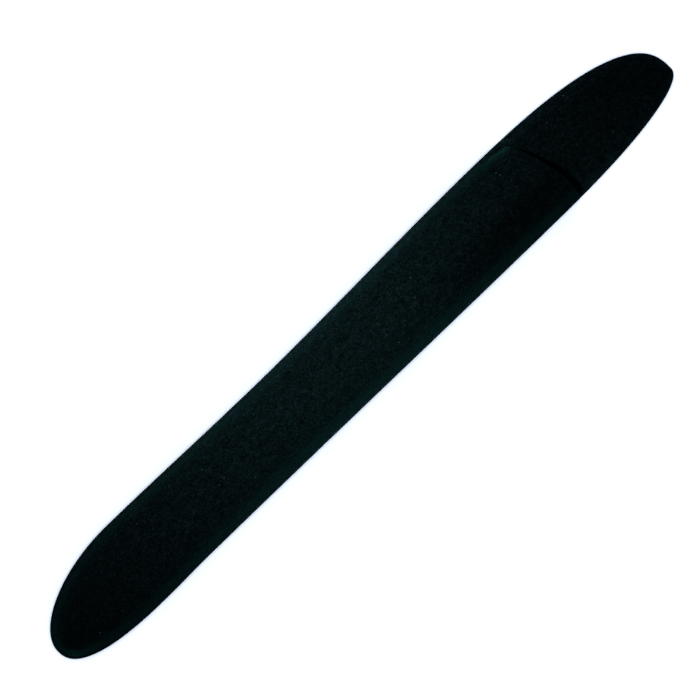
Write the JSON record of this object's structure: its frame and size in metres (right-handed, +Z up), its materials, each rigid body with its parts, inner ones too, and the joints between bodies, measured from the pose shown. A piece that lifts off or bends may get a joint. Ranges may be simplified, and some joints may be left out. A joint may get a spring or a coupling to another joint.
{
  "type": "sanding stick in sleeve",
  "caption": "Slim black velvet sleeve with a long tongue past its slanted mouth, holding a flat glass sanding stick that slides out for smoothing model parts.",
  "frame": {"origin": "under the middle of the sleeve, on the flat face of the back wall that it rests on", "axes": "+X along the sleeve from the closed end to the tip of the tongue, +Y across it to the side where the mouth is set back, +Z up out of the front wall"},
  "size_m": [0.18, 0.0208, 0.0067],
  "materials": {
    "velvet": "matte black short-pile velvet with a faint cool sheen",
    "film": "satin flexible stiffening film",
    "seal": "heat-fused film and crushed pile",
    "glass": "clear polished glass with etched matte abrasive faces"
  },
  "bodies": {
    "sleeve": {"back_outer_velvet": "velvet", "back_core_film": "film", "back_inner_velvet": "velvet", "pocket_edge_seal": "seal", "front_inner_velvet": "velvet", "front_core_film": "film", "front_outer_velvet": "velvet"},
    "tongue": {"tongue_outer_velvet": "velvet", "tongue_core_film": "film", "tongue_inner_velvet": "velvet", "tongue_edge_seal": "seal"},
    "stick": {"glass_stick": "glass"}
  },
  "joints": [
    {"name": "stick_slide", "type": "slide", "parent": "sleeve", "child": "stick", "axis": [1, 0, 0], "range_m": [0, 0.15]},
    {"name": "tongue_fold", "type": "hinge", "parent": "sleeve", "child": "tongue", "pos_m": [0.0605, 0, 0.0042], "axis": [0, -1, 0], "range_deg": [0, 178], "stiffness_Nm_per_rad": 0.0015}
  ]
}
